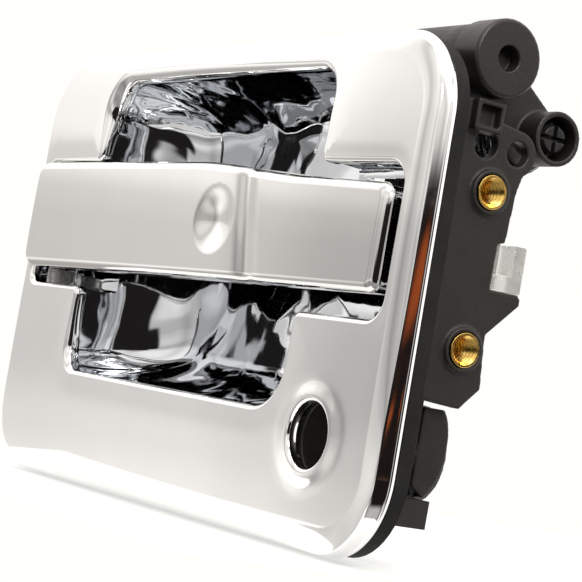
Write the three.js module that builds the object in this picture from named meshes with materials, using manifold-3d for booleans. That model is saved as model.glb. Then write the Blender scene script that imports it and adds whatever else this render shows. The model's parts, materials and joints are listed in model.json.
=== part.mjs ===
// Outside door handle of a pickup truck: a chromed bezel with a hand recess, a pull strap hinged at its
// left end, and behind them a black carrier with a bellcrank, its counterweight and the lock housing.
// Millimetres. X runs along the strap towards its free end, Y runs into the door, Z is up.
// Y = 0 is the door skin, where the gasket's back face seats. The dimensions count Z from the middle of the
// bezel; the finished handle is raised so that its origin lies on the gasket's lower strip.
import * as THREE from "three";
import { mergeVertices } from "three/addons/utils/BufferGeometryUtils.js";
import Module from "manifold-3d";

const wasm = await Module();
wasm.setup();

// ---------------------------------------------------------------- driving dimensions
const GAP = 0.3; // between pieces that meet
const FINE = 32; // sides of a large round
const COARSE = 20; // sides of a small round
const CORNER_STEPS = 6; // steps in each rounded corner

const BEZEL = {
  halfWidth: 105, halfHeight: 63, corner: 21, crownY: -12.8, edgeY: -9.2, rimY: -4.2, wall: 2.4,
  lean: 1.8, // the key-hole end widens by this much towards the bottom
};
const RECESS = { halfWidth: 61, bottom: -31, top: 53.5, corner: 10, floorY: 22, wall: 2.2 };
const POCKET = { left: -99, right: 96, bottom: -6.6, top: 30.1, corner: 4.5, floorY: 1.5 };
const KEYHOLE = { x: 77.5, z: -35.8, radius: 8.4 };
const GASKET = { inset: 1, innerHalfWidth: 94, innerBottom: -52, innerTop: 57.5, frontY: -3.9 };

const SEAT_Z = (GASKET.innerBottom - BEZEL.halfHeight + GASKET.inset) / 2; // middle of the gasket's lower strip

const STRAP = {
  left: -98, right: 94.3, bottomLeft: -2.3, bottomRight: -0.8, topLeft: 29.6, topRight: 25.4, stepStart: 12, corner: 3.5,
  leftY: -14.2, rightY: -12.4, middleY: -17.6, peakX: 14, partingY: -10, backY: -5.7, wall: 2.2,
};
const STRAP_PIVOT = { x: -90, y: -3.5, pinRadius: 2, knuckleRadius: 4.2, knuckleBottom: -1.9, knuckleTop: 29.2 };
const LEG = { x0: 73, x1: 77, rearY: 33, bottom: 4, top: 21.5 };
const HOOK = { x0: 64, frontY: 29.5, top: 15.5 };
const SWING = { x0: 63.3, legX1: 82, armX1: 74, bottom: -2, legTop: 27, armTop: 35 }; // room for leg and arm

const HUB = { y: 34.2, z: 45, radius: 6.7, x0: 65.3, x1: 93.5, boreRadius: 3.9, mouthRadius: 5.4, mouthDepth: 6 };
const ARM = { x0: 65.5, x1: 70.5, elbow: [24, 31], tip: [26.5, 8], halfWidth: 2.5 };
const WEIGHT = { y: 13, z: 59.8, headRadius: 9.5, headX0: 87.5, headX1: 97.5, sleeveRadius: 8.9, sleeveX0: 62, coreRadius: 6.5 };
const WEB = { x0: 80, x1: 86, endRadius: 7.6 };
const ROD_EAR = { x0: 65.5, x1: 69, y: 47.5, z: 47, radius: 4.6, hole: 2.6 };

const FRAME = { frontY: 8, backY: 11, halfWidth: 90, bottom: -50.5, top: 56, corner: 12, notchX: 50, notchTop: 49, lipY: 4.2, lipWall: 2.5 };
const SIDE = { x0: 90.4, x1: 93.5 };
const BASE = { x0: 60, backY: 13.8, bottom: -22.5, top: 36 };
const PIN_WALL = { x0: 60, x1: 63 };
const INSERTS = { y: 16.8, upperZ: 28.4, lowerZ: -9.5, radius: 4, bore: 3, bossRadius: 5.4, x0: 82, x1: 94.5, depth: 10 };
const SHELF = { x0: 81, z0: 3.6, z1: 5.9 };
const CLIP = { x0: 81.3, x1: 90, y0: 22, y1: 33.4, z0: 6.2, z1: 17.8 };
const LOCK = { boreRadius: 8.8, tubeRadius: 10.2, barrelRadius: 12, frontY: -7.5, barrelY: 4, backY: 20.5, guardX: 90 };
const SCREW = { shank: 1.8, headRadius: 3.3, headHeight: 2.2, length: 11, pilot: 2.1 };
const FRAME_SCREWS = [[-80, 43], [80, 41.5], [-80, -42], [52, -43]]; // x, z
const BRACKET_SCREWS = [[64.5, -14], [85.5, -18.6]]; // x, z
const STRAP_SCREWS = [-72, 58]; // x
const BUMPERS = { x: 87.6, radius: 3, z: { upper: 20, lower: 4 } };

// ---------------------------------------------------------------- materials
const finish = (color, roughness, metalness) => new THREE.MeshStandardMaterial({ color, roughness, metalness });
const MATERIAL = {
  chrome: finish(0xe8e8ea, 0.05, 1),
  blackNylon: finish(0x2b2826, 0.6, 0),
  blackSteel: finish(0x302d2b, 0.5, 0.3),
  foam: finish(0x151414, 0.95, 0),
  brass: finish(0xd9a23a, 0.25, 1),
  steel: finish(0xa8aaac, 0.3, 1),
  zincScrew: finish(0x8d9094, 0.35, 1),
  naturalNylon: finish(0xf1eee2, 0.4, 0),
  rubber: finish(0x111111, 0.9, 0),
};

// ---------------------------------------------------------------- solids
// A closed geometry as a manifold-3d solid.
function solid(geometry) {
  const bare = geometry.index ? geometry.toNonIndexed() : geometry.clone();
  bare.deleteAttribute("normal");
  bare.deleteAttribute("uv");
  const merged = mergeVertices(bare, 1e-4);
  return new wasm.Manifold(
    new wasm.Mesh({
      numProp: 3,
      vertProperties: new Float32Array(merged.attributes.position.array),
      triVerts: new Uint32Array(merged.index.array),
    }),
  );
}

// A named mesh from a solid.
function piece(name, made, material) {
  const m = made.getMesh();
  const positions = new Float32Array(m.numVert * 3);
  for (let i = 0; i < m.numVert; i++) {
    positions.set(m.vertProperties.subarray(i * m.numProp, i * m.numProp + 3), i * 3);
  }
  const geometry = new THREE.BufferGeometry();
  geometry.setAttribute("position", new THREE.BufferAttribute(positions, 3));
  geometry.setIndex(new THREE.BufferAttribute(new Uint32Array(m.triVerts), 1));
  geometry.computeVertexNormals();
  const mesh = new THREE.Mesh(geometry, material);
  mesh.name = name;
  return mesh;
}

const join = (first, ...others) => others.reduce((all, next) => all.add(next), first);
const cut = (first, ...others) => others.reduce((left, next) => left.subtract(next), first);

// A box between two corners.
function box(x0, x1, y0, y1, z0, z1) {
  const geometry = new THREE.BoxGeometry(x1 - x0, y1 - y0, z1 - z0);
  return solid(geometry.translate((x0 + x1) / 2, (y0 + y1) / 2, (z0 + z1) / 2));
}

// Round bars along each axis.
function rodX(radius, x0, x1, y, z, sides = COARSE) {
  const geometry = new THREE.CylinderGeometry(radius, radius, x1 - x0, sides);
  return solid(geometry.rotateZ(-Math.PI / 2).translate((x0 + x1) / 2, y, z));
}
function rodY(radius, y0, y1, x, z, sides = COARSE) {
  const geometry = new THREE.CylinderGeometry(radius, radius, y1 - y0, sides);
  return solid(geometry.translate(x, (y0 + y1) / 2, z));
}
function rodZ(radius, z0, z1, x, y, sides = COARSE) {
  const geometry = new THREE.CylinderGeometry(radius, radius, z1 - z0, sides);
  return solid(geometry.rotateX(Math.PI / 2).translate(x, y, (z0 + z1) / 2));
}

// A rectangle with round corners.
function roundedRect(x0, x1, y0, y1, radius, lean = 0) {
  const shape = new THREE.Shape();
  shape.moveTo(x0 + radius, y0);
  shape.lineTo(x1 + lean - radius, y0);
  shape.absarc(x1 + lean - radius, y0 + radius, radius, -Math.PI / 2, 0);
  shape.lineTo(x1, y1 - radius);
  shape.absarc(x1 - radius, y1 - radius, radius, 0, Math.PI / 2);
  shape.lineTo(x0 + radius, y1);
  shape.absarc(x0 + radius, y1 - radius, radius, Math.PI / 2, Math.PI);
  shape.lineTo(x0, y0 + radius);
  shape.absarc(x0 + radius, y0 + radius, radius, Math.PI, 1.5 * Math.PI);
  return shape;
}

// A shape drawn in X and Z, pushed along Y from y0 to y1.
function facePlate(shape, y0, y1) {
  const geometry = new THREE.ExtrudeGeometry(shape, { depth: y1 - y0, bevelEnabled: false, curveSegments: CORNER_STEPS });
  return solid(geometry.rotateX(Math.PI / 2).translate(0, y1, 0));
}

// A shape drawn in Y and Z, pushed along X from x0 to x1.
function sidePlate(shape, x0, x1) {
  const geometry = new THREE.ExtrudeGeometry(shape, { depth: x1 - x0, bevelEnabled: false, curveSegments: CORNER_STEPS });
  const turn = new THREE.Matrix4().makeBasis(
    new THREE.Vector3(0, 1, 0),
    new THREE.Vector3(0, 0, 1),
    new THREE.Vector3(1, 0, 0),
  );
  return solid(geometry.applyMatrix4(turn).translate(x0, 0, 0));
}

// A shape drawn in X and Y, pushed along Z far past the object both ways.
function planPrism(shape) {
  const reach = 90;
  const geometry = new THREE.ExtrudeGeometry(shape, { depth: 2 * reach, bevelEnabled: false });
  return solid(geometry.translate(0, 0, -reach));
}

// A bar with round ends from a to b in the Y-Z plane, as wide as its end radii.
function sideLink(a, radiusA, b, radiusB, x0, x1) {
  const [along, apart] = [Math.atan2(b[1] - a[1], b[0] - a[0]), Math.hypot(b[0] - a[0], b[1] - a[1])];
  const lean = Math.acos((radiusA - radiusB) / apart);
  const shape = new THREE.Shape();
  shape.absarc(b[0], b[1], radiusB, along - lean, along + lean);
  shape.absarc(a[0], a[1], radiusA, along + lean, along + 2 * Math.PI - lean);
  return sidePlate(shape, x0, x1);
}

// A closed surface through rings of points, all with the same count.
function loft(rings) {
  const count = rings[0].length;
  const points = rings.flat();
  const faces = [];
  for (let r = 0; r < rings.length - 1; r++) {
    for (let i = 0; i < count; i++) {
      const [a, b] = [r * count + i, r * count + ((i + 1) % count)];
      faces.push(a, b, a + count, b, b + count, a + count);
    }
  }
  const last = (rings.length - 1) * count;
  for (let i = 1; i < count - 1; i++) {
    faces.push(0, i + 1, i, last, last + i, last + i + 1);
  }
  const geometry = new THREE.BufferGeometry().setFromPoints(points);
  geometry.setIndex(faces);
  const made = solid(geometry);
  return made.volume() > 0 ? made : solid(geometry.setIndex(faces.reverse()));
}

// ---------------------------------------------------------------- chromed front
// Everything behind the bezel's crowned face, set back by depth.
function behindFace(depth) {
  const reach = BEZEL.halfWidth + 5;
  const steps = 14;
  const shape = new THREE.Shape();
  shape.moveTo(reach, 60);
  shape.lineTo(-reach, 60);
  for (let i = 0; i <= steps; i++) {
    const x = -reach + (2 * reach * i) / steps;
    shape.lineTo(x, BEZEL.crownY + (BEZEL.edgeY - BEZEL.crownY) * (x / BEZEL.halfWidth) ** 2 + depth);
  }
  return planPrism(shape);
}

const bezelOutline = (inset) =>
  roundedRect(
    -BEZEL.halfWidth + inset, BEZEL.halfWidth - inset,
    -BEZEL.halfHeight + inset, BEZEL.halfHeight - inset, BEZEL.corner - inset, BEZEL.lean,
  );
const recessOutline = (grow) =>
  roundedRect(
    -RECESS.halfWidth - grow, RECESS.halfWidth + grow,
    RECESS.bottom - grow, RECESS.top + grow, RECESS.corner + grow,
  );
const pocketOutline = (grow) =>
  roundedRect(
    POCKET.left - grow, POCKET.right + grow,
    POCKET.bottom - grow, POCKET.top + grow, POCKET.corner + grow,
  );

function bezel() {
  const [chamfer, deep] = [3.2, 40];
  const front = new THREE.ExtrudeGeometry(bezelOutline(chamfer), {
    depth: BEZEL.rimY - BEZEL.crownY - chamfer + deep,
    bevelThickness: chamfer, bevelSize: chamfer, bevelSegments: 3, curveSegments: CORNER_STEPS,
  });
  const block = solid(front.rotateX(Math.PI / 2).translate(0, BEZEL.rimY + deep, 0));
  const outside = block.intersect(behindFace(0));
  const hollow = facePlate(bezelOutline(BEZEL.wall), -30, deep + 20).intersect(behindFace(BEZEL.wall));
  const shell = cut(outside, hollow, box(-120, 120, BEZEL.rimY, 90, -80, 80));
  const bosses = FRAME_SCREWS.map(([x, z]) =>
    cut(rodY(4, -14, FRAME.frontY - GAP, x, z), rodY(SCREW.pilot, -2, 20, x, z)).intersect(behindFace(1)),
  );
  const openings = [
    facePlate(recessOutline(0), -30, 20),
    facePlate(pocketOutline(0), -30, 20),
    rodY(KEYHOLE.radius, -30, 20, KEYHOLE.x, KEYHOLE.z, FINE),
  ];
  return piece("bezel", cut(join(shell, ...bosses), ...openings), MATERIAL.chrome);
}

// The bowl of the hand recess, grown outwards by its wall.
function bowlForm(wall) {
  const [mouthY, steps] = [-9, 7];
  const centreZ = (RECESS.top + RECESS.bottom) / 2;
  const mouth = { w: RECESS.halfWidth + 1, h: (RECESS.top - RECESS.bottom) / 2 + 1 };
  const floor = { w: 38, h: 20 };
  const ring = (y, w, h, radius) =>
    [[1, 1, 0], [-1, 1, 1], [-1, -1, 2], [1, -1, 3]].flatMap(([sx, sz, quarter]) =>
      Array.from({ length: CORNER_STEPS + 1 }, (_, i) => {
        const angle = (quarter + i / CORNER_STEPS) * (Math.PI / 2);
        return new THREE.Vector3(
          sx * (w - radius) + radius * Math.cos(angle),
          y,
          centreZ + sz * (h - radius) + radius * Math.sin(angle),
        );
      }),
    );
  const rings = [ring(-30, mouth.w + wall, mouth.h + wall, RECESS.corner + wall)];
  for (let i = 0; i <= steps; i++) {
    const turn = (i / steps) * (Math.PI / 2);
    const share = Math.cos(turn);
    rings.push(
      ring(
        mouthY + (RECESS.floorY + wall - mouthY) * Math.sin(turn),
        floor.w + (mouth.w - floor.w) * share + wall,
        floor.h + (mouth.h - floor.h) * share + wall,
        15 - 5 * share + wall,
      ),
    );
  }
  return loft(rings);
}

function recessBowl() {
  const { wall } = RECESS;
  const outside = join(bowlForm(wall), facePlate(pocketOutline(0.6 + wall), -30, POCKET.floorY + wall));
  const inside = join(bowlForm(0), facePlate(pocketOutline(0.6), -30, POCKET.floorY));
  const hookSlot = box(SWING.x0, 81, -3, 12, 2, 28.5);
  const pinHole = rodZ(STRAP_PIVOT.pinRadius + 0.1, -20, 60, STRAP_PIVOT.x, STRAP_PIVOT.y);
  const shell = cut(outside.intersect(behindFace(BEZEL.wall + GAP)), inside, hookSlot, pinHole);
  return piece("recess_bowl", shell, MATERIAL.chrome);
}

function doorGasket() {
  const shape = bezelOutline(GASKET.inset);
  const { innerHalfWidth: w, innerBottom: z0, innerTop: z1 } = GASKET;
  shape.holes.push(roundedRect(-w, w, z0, z1, 12));
  const pocketClearance = facePlate(pocketOutline(0.6 + RECESS.wall + GAP), -30, 20);
  return piece("door_gasket", cut(facePlate(shape, GASKET.frontY, 0), pocketClearance), MATERIAL.foam);
}

// ---------------------------------------------------------------- black carrier and bracket
function frameOutline(inset) {
  const { halfWidth: w, bottom: z0, top: z1, corner, notchX, notchTop } = FRAME;
  const radius = corner - inset;
  const shape = new THREE.Shape();
  shape.moveTo(-w + corner, z0 + inset);
  shape.lineTo(w - corner, z0 + inset);
  shape.absarc(w - corner, z0 + corner, radius, -Math.PI / 2, 0);
  shape.lineTo(w - inset, notchTop - inset);
  shape.lineTo(notchX - inset, notchTop - inset);
  shape.lineTo(notchX - inset, z1 - inset);
  shape.lineTo(-w + corner, z1 - inset);
  shape.absarc(-w + corner, z1 - corner, radius, Math.PI / 2, Math.PI);
  shape.lineTo(-w + inset, z0 + corner);
  shape.absarc(-w + corner, z0 + corner, radius, Math.PI, 1.5 * Math.PI);
  return shape;
}

// The opening behind the strap through which its leg and the bellcrank's arm swing.
function swingRoom() {
  const { x0, legX1, armX1, bottom, legTop, armTop } = SWING;
  return join(box(x0, legX1, 0, 20, bottom, legTop), box(x0, armX1, 0, 20, bottom, armTop));
}

function carrierFrame() {
  const plate = facePlate(frameOutline(0), FRAME.frontY, FRAME.backY);
  const lip = cut(
    facePlate(frameOutline(0), FRAME.lipY, FRAME.frontY + 0.5),
    facePlate(frameOutline(FRAME.lipWall), FRAME.lipY - 5, FRAME.frontY + 5),
  );
  const lug = box(83, 89.5, 9.5, 17.9, -53, -46.2);
  const bowlClearance = bowlForm(RECESS.wall + 0.5);
  const windows = [
    bowlClearance,
    swingRoom(),
    rodY(LOCK.barrelRadius + 0.4, 0, 30, KEYHOLE.x, KEYHOLE.z, FINE),
    ...FRAME_SCREWS.map(([x, z]) => rodY(SCREW.pilot, 0, 20, x, z)),
    ...BRACKET_SCREWS.map(([x, z]) => rodY(SCREW.pilot, 0, 20, x, z)),
  ];
  return piece("carrier_frame", cut(join(plate, lip, lug), ...windows), MATERIAL.blackNylon);
}

// The bracket's side wall, whose outer face carries the threaded inserts.
function sideWallOutline() {
  const [pivotY, pivotZ, round] = [23.1, 38.9, 5.6];
  const shape = new THREE.Shape();
  shape.moveTo(5, -22.5);
  shape.lineTo(18.8, -23.4);
  shape.lineTo(24, -18);
  shape.lineTo(22.8, -5);
  shape.lineTo(31.2, 3.4);
  shape.lineTo(31.2, SHELF.z1 - 0.8);
  shape.lineTo(21.8, SHELF.z1);
  shape.lineTo(22, 17);
  shape.lineTo(24, 17.4);
  shape.lineTo(24.8, 30);
  shape.absarc(pivotY, pivotZ, round, -Math.PI / 3, Math.PI / 2);
  shape.lineTo(15.8, 45.6);
  shape.lineTo(15.8, 49.4);
  shape.lineTo(5, 49.4);
  shape.closePath();
  return shape;
}

function mechanismBracket() {
  const { upperZ, lowerZ, y, bossRadius, x0, x1 } = INSERTS;
  const wall = sidePlate(sideWallOutline(), SIDE.x0, SIDE.x1);
  const bosses = [upperZ, lowerZ].map((z) => rodX(bossRadius, x0, x1, y, z, FINE));
  const base = box(BASE.x0, SIDE.x1, FRAME.backY + GAP, BASE.backY, BASE.bottom, BASE.top);
  const pinWall = sideLink([HUB.y, HUB.z], 7, [16, 26], 4.6, PIN_WALL.x0, PIN_WALL.x1);
  const pinWallRoot = box(PIN_WALL.x0, PIN_WALL.x1, FRAME.backY + GAP, 20, 14, 36);
  const shelf = box(SHELF.x0, SIDE.x1, 21.8, 30.6, SHELF.z0, SHELF.z1);
  const shelfRib = box(87, SIDE.x1, FRAME.backY + GAP, 23, SHELF.z0, SHELF.z1);
  const tray = cut(box(SIDE.x0, SIDE.x1 + 2.6, 7.6, 15.8, 42, 49.4), box(SIDE.x0 + 1.5, 99, 8.8, 14.6, 43.2, 48.2));
  const body = join(wall, ...bosses, base, pinWall, pinWallRoot, shelf, shelfRib);
  const holes = [
    ...[upperZ, lowerZ].map((z) => rodX(INSERTS.radius + GAP, x1 - INSERTS.depth - 1, 99, y, z, FINE)),
    rodX(3.4, 85, 99, 13.6, 39.4, FINE),
    rodX(3.05, 85, 99, 23.1, 38.9, FINE),
    rodX(HUB.boreRadius - 0.6, 50, 70, HUB.y, HUB.z),
    ...BRACKET_SCREWS.map(([sx, sz]) => rodY(SCREW.pilot, 5, 20, sx, sz)),
  ];
  return piece("mechanism_bracket", join(cut(body, swingRoom(), ...holes), tray), MATERIAL.blackNylon);
}

function lockHousing() {
  const tube = rodY(LOCK.tubeRadius, LOCK.frontY, LOCK.barrelY + 1, 0, 0, FINE);
  const barrel = rodY(LOCK.barrelRadius, LOCK.barrelY, LOCK.backY, 0, 0, FINE);
  const guardShape = new THREE.Shape();
  guardShape.moveTo(FRAME.backY + 0.6, 11.6);
  guardShape.lineTo(17.6, 11.6);
  guardShape.quadraticCurveTo(20.6, 8, 20, 0);
  guardShape.quadraticCurveTo(19.6, -6, 15.5, -9.8);
  guardShape.lineTo(FRAME.backY + 0.6, -7);
  const guard = sidePlate(guardShape, 0, LOCK.guardX - KEYHOLE.x);
  const bore = rodY(LOCK.boreRadius, -20, 40, 0, 0, FINE);
  const made = piece("lock_cylinder_housing", cut(join(tube, barrel, guard), bore), MATERIAL.blackNylon);
  made.position.set(KEYHOLE.x, 0, KEYHOLE.z);
  return made;
}

// An M6 threaded insert, its mouth towards +X.
function threadedInsert(name, z) {
  const { radius, bore, depth, x1 } = INSERTS;
  const profile = [
    [bore, 0], [radius, 0], [radius, depth - 3.5], [radius - 0.5, depth - 3.2],
    [radius - 0.5, depth - 2.6], [radius, depth - 2.3], [radius, depth], [bore + 0.5, depth], [bore, depth - 0.5], [bore, 0],
  ];
  const lathe = new THREE.LatheGeometry(profile.map(([r, h]) => new THREE.Vector2(r, h)), FINE);
  const made = piece(name, solid(lathe.rotateZ(-Math.PI / 2)), MATERIAL.brass);
  made.position.set(x1 - depth, INSERTS.y, z);
  return made;
}

function rodGuideClip() {
  const { x0, x1, y0, y1, z0, z1 } = CLIP;
  const notch = box(x0 - 1, x1 + 1, y0 + 3.4, y1 - 3.4, z0 + 4, z1 + 1);
  return piece("rod_guide_clip", cut(box(x0, x1, y0, y1, z0, z1), notch), MATERIAL.naturalNylon);
}

// ---------------------------------------------------------------- fasteners and pins
// A pan-head screw driven along -Y, its head's underside at the mesh's own origin.
function screw(name, x, y, z, length) {
  const { shank, headRadius, headHeight } = SCREW;
  const profile = [
    [0, -length], [shank * 0.5, -length], [shank, -length + 1.5], [shank, 0], [headRadius, 0],
    [headRadius, headHeight - 0.8], [headRadius - 0.9, headHeight], [0, headHeight],
  ];
  const body = solid(new THREE.LatheGeometry(profile.map(([r, h]) => new THREE.Vector2(r, h)), COARSE));
  const slots = [box(-1.9, 1.9, headHeight - 1.1, 9, -0.45, 0.45), box(-0.45, 0.45, headHeight - 1.1, 9, -1.9, 1.9)];
  const made = piece(name, cut(body, ...slots), MATERIAL.zincScrew);
  made.position.set(x, y, z);
  return made;
}

function strapPivotPin() {
  const { pinRadius: r, x, y } = STRAP_PIVOT;
  const wallTop = POCKET.top + 0.6 + RECESS.wall;
  const wallBottom = POCKET.bottom - 0.6 - RECESS.wall;
  return piece("strap_pivot_pin", rodZ(r - 0.05, wallBottom, wallTop + 1, x, y), MATERIAL.steel);
}

function pivotBush(name, z0, z1) {
  const { pinRadius, knuckleRadius, x, y } = STRAP_PIVOT;
  const ring = cut(rodZ(knuckleRadius, z0, z1, 0, 0), rodZ(pinRadius + 0.25, z0 - 1, z1 + 1, 0, 0));
  const made = piece(name, ring, MATERIAL.naturalNylon);
  made.position.set(x, y, 0);
  return made;
}

// The stud that the bellcrank turns on: its snap head sits in the mouth of the hub.
function bellcrankPin() {
  const r = HUB.boreRadius - 0.9;
  const [headStart, headEnd] = [HUB.x1 - HUB.mouthDepth + 0.4, HUB.x1 - 1.4];
  const profile = [
    [0, PIN_WALL.x0 - 0.5], [r, PIN_WALL.x0 - 0.5], [r, headStart], [4.6, headStart],
    [4.6, headStart + 1.4], [3.2, headEnd], [0, headEnd],
  ];
  const lathe = new THREE.LatheGeometry(profile.map(([rr, h]) => new THREE.Vector2(rr, h)), COARSE);
  const stud = solid(lathe.rotateZ(-Math.PI / 2).translate(0, HUB.y, HUB.z));
  const slots = [
    box(headEnd - 2.2, 99, HUB.y - 0.6, HUB.y + 0.6, HUB.z - 9, HUB.z + 9),
    box(headEnd - 2.2, 99, HUB.y - 9, HUB.y + 9, HUB.z - 0.6, HUB.z + 0.6),
  ];
  return piece("bellcrank_pivot_pin", cut(stud, ...slots), MATERIAL.blackSteel);
}

// A torsion spring coiled on the hub, one leg down to the bracket's base.
function returnSpring() {
  const [turns, wire, radius, start, pitch] = [3.5, 0.75, HUB.radius + 1.35, 72.2, 1.9];
  const points = [];
  const perTurn = 12;
  const last = turns * perTurn;
  for (let i = 0; i <= last; i++) {
    const angle = Math.PI + (i / perTurn) * 2 * Math.PI;
    points.push(
      new THREE.Vector3(start + (pitch * i) / perTurn, radius * Math.cos(angle), radius * Math.sin(angle)),
    );
  }
  points.unshift(new THREE.Vector3(start, -radius, 6), new THREE.Vector3(start, -radius, 11));
  points.reverse();
  const section = new THREE.Shape().absarc(0, 0, wire, 0, 2 * Math.PI);
  const geometry = new THREE.ExtrudeGeometry(section, {
    steps: 96, curveSegments: 3, bevelEnabled: false, extrudePath: new THREE.CatmullRomCurve3(points),
  });
  const made = piece("return_spring", solid(geometry), MATERIAL.steel);
  made.position.set(0, HUB.y, HUB.z);
  return made;
}

function strapBumper(name, z) {
  const made = piece(name, rodY(BUMPERS.radius, STRAP.backY + GAP, POCKET.floorY - GAP, 0, 0), MATERIAL.rubber);
  made.position.set(BUMPERS.x, 0, z);
  return made;
}

// ---------------------------------------------------------------- strap, in the frame of its pivot
// The strap's front view: its top edge steps down towards the free end.
function strapOutline(inset) {
  const { left, right, bottomLeft, bottomRight, topLeft, topRight, stepStart, corner } = STRAP;
  const [x0, x1, r] = [left + inset, right - inset, Math.max(corner - inset, 1)];
  const [z0, z1] = [bottomLeft + inset, bottomRight + inset];
  const [zl, zr] = [topLeft - inset, topRight - inset];
  const shape = new THREE.Shape();
  shape.moveTo(x0 + r, z0);
  shape.lineTo(x1 - r, z1);
  shape.absarc(x1 - r, z1 + r, r, -Math.PI / 2, 0);
  shape.lineTo(x1, zr - r);
  shape.absarc(x1 - r, zr - r, r, 0, Math.PI / 2);
  shape.bezierCurveTo(60, zr + 1, 45, zl - 1, stepStart, zl);
  shape.lineTo(x0 + r, zl);
  shape.absarc(x0 + r, zl - r, r, Math.PI / 2, Math.PI);
  shape.lineTo(x0, z0 + r);
  shape.absarc(x0 + r, z0 + r, r, Math.PI, 1.5 * Math.PI);
  return shape;
}

// Everything behind the strap's front face, set back by depth: it stands furthest out at peakX.
function behindStrapFace(depth) {
  const { left, right, leftY, rightY, middleY, peakX } = STRAP;
  const shape = new THREE.Shape();
  shape.moveTo(right + 5, 20);
  shape.lineTo(left - 5, 20);
  shape.lineTo(left - 5, leftY + depth);
  shape.lineTo(left, leftY + depth);
  shape.quadraticCurveTo((left + peakX) / 2, middleY + depth, peakX, middleY + depth);
  shape.quadraticCurveTo((right + peakX) / 2, middleY + depth, right, rightY + depth);
  shape.lineTo(right + 5, rightY + depth);
  return planPrism(shape);
}

const toPivot = (made) => made.translate([-STRAP_PIVOT.x, -STRAP_PIVOT.y, 0]);

function strapCover() {
  const { partingY, wall } = STRAP;
  const outside = facePlate(strapOutline(0), -30, partingY).intersect(behindStrapFace(0));
  const hollow = facePlate(strapOutline(wall), -30, partingY + 5).intersect(behindStrapFace(wall));
  const bosses = STRAP_SCREWS.map((x) =>
    cut(rodY(3.4, -20, partingY, x, 13), rodY(SCREW.pilot, partingY - 3.6, partingY + 5, x, 13))
      .intersect(behindStrapFace(1)),
  );
  return piece("strap_cover", toPivot(join(cut(outside, hollow), ...bosses)), MATERIAL.chrome);
}

function strapCore() {
  const { partingY, backY } = STRAP;
  const { x, y, knuckleRadius, knuckleBottom: z0, knuckleTop: z1, pinRadius } = STRAP_PIVOT;
  const plate = facePlate(strapOutline(0.4), partingY + GAP, backY);
  const knuckle = join(rodZ(knuckleRadius, z0, z1, x, y), box(x - knuckleRadius, x + knuckleRadius, backY - 2, y, z0, z1));
  const leg = box(LEG.x0, LEG.x1, backY - 1, LEG.rearY, LEG.bottom, LEG.top);
  const hook = box(HOOK.x0, LEG.x1, HOOK.frontY, LEG.rearY, LEG.bottom, HOOK.top);
  const gusset = box(LEG.x0 - 2, LEG.x1 + 2, backY - 1, -1, LEG.bottom, LEG.top);
  const holes = [
    rodZ(pinRadius + GAP, -30, 60, x, y),
    ...STRAP_SCREWS.map((sx) => rodY(SCREW.pilot, -30, 20, sx, 13)),
    ...STRAP_SCREWS.map((sx) => rodY(SCREW.headRadius + GAP, backY - 2, 20, sx, 13)),
  ];
  return piece("strap_core", toPivot(cut(join(plate, knuckle, leg, hook, gusset), ...holes)), MATERIAL.chrome);
}

// ---------------------------------------------------------------- bellcrank, in the frame of its hub
const toHub = (made) => made.translate([0, -HUB.y, -HUB.z]);

function bellcrankLever() {
  const { y, z, radius, x0, x1, boreRadius, mouthRadius, mouthDepth } = HUB;
  const hub = rodX(radius, x0, x1, y, z, FINE);
  const web = sideLink([y, z], radius, [WEIGHT.y, WEIGHT.z], WEB.endRadius, WEB.x0, WEB.x1);
  const sleeve = rodX(WEIGHT.sleeveRadius, WEIGHT.sleeveX0, WEIGHT.headX0 - GAP, WEIGHT.y, WEIGHT.z, FINE);
  const upperArm = sideLink([y, z], 5, ARM.elbow, ARM.halfWidth, ARM.x0, ARM.x1);
  const lowerArm = sideLink(ARM.elbow, ARM.halfWidth, ARM.tip, ARM.halfWidth - 0.01, ARM.x0, ARM.x1);
  const ear = sideLink([y, z], 5, [ROD_EAR.y, ROD_EAR.z], ROD_EAR.radius, ROD_EAR.x0, ROD_EAR.x1);
  const holes = [
    rodX(boreRadius, x0 - 5, x1 + 5, y, z),
    rodX(mouthRadius, x1 - mouthDepth, x1 + 5, y, z, FINE),
    rodX(WEIGHT.coreRadius + GAP, WEIGHT.sleeveX0 + 2, 99, WEIGHT.y, WEIGHT.z, FINE),
    rodX(ROD_EAR.hole, 50, 80, ROD_EAR.y, ROD_EAR.z),
  ];
  const body = cut(join(hub, web, sleeve, upperArm, lowerArm, ear), ...holes);
  return piece("bellcrank_lever", toHub(body), MATERIAL.blackNylon);
}

function counterweight() {
  const { y, z, headRadius, headX0, headX1, coreRadius, sleeveX0 } = WEIGHT;
  const profile = [
    [0, sleeveX0 + 2.4], [coreRadius, sleeveX0 + 2.4], [coreRadius, headX0], [headRadius, headX0],
    [headRadius, headX1 - 0.6], [headRadius - 0.6, headX1], [3.1, headX1], [3.1, headX1 - 4], [0, headX1 - 4],
  ];
  const lathe = new THREE.LatheGeometry(profile.map(([r, h]) => new THREE.Vector2(r, h)), FINE);
  return piece("counterweight", toHub(solid(lathe.rotateZ(-Math.PI / 2).translate(0, y, z))), MATERIAL.blackSteel);
}

function latchRodClip() {
  const { x0, x1, y, z, hole } = ROD_EAR;
  const profile = [
    [1.6, x0 - 1.3], [hole + 1.1, x0 - 1.3], [hole + 1.1, x0 - GAP], [hole - GAP, x0 - GAP],
    [hole - GAP, x1 + GAP], [hole + 0.9, x1 + GAP], [hole + 0.2, x1 + 1.6], [1.6, x1 + 1.6], [1.6, x0 - 1.3],
  ];
  const lathe = new THREE.LatheGeometry(profile.map(([r, h]) => new THREE.Vector2(r, h)), COARSE);
  return piece("latch_rod_clip", toHub(solid(lathe.rotateZ(-Math.PI / 2).translate(0, y, z))), MATERIAL.naturalNylon);
}

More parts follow.
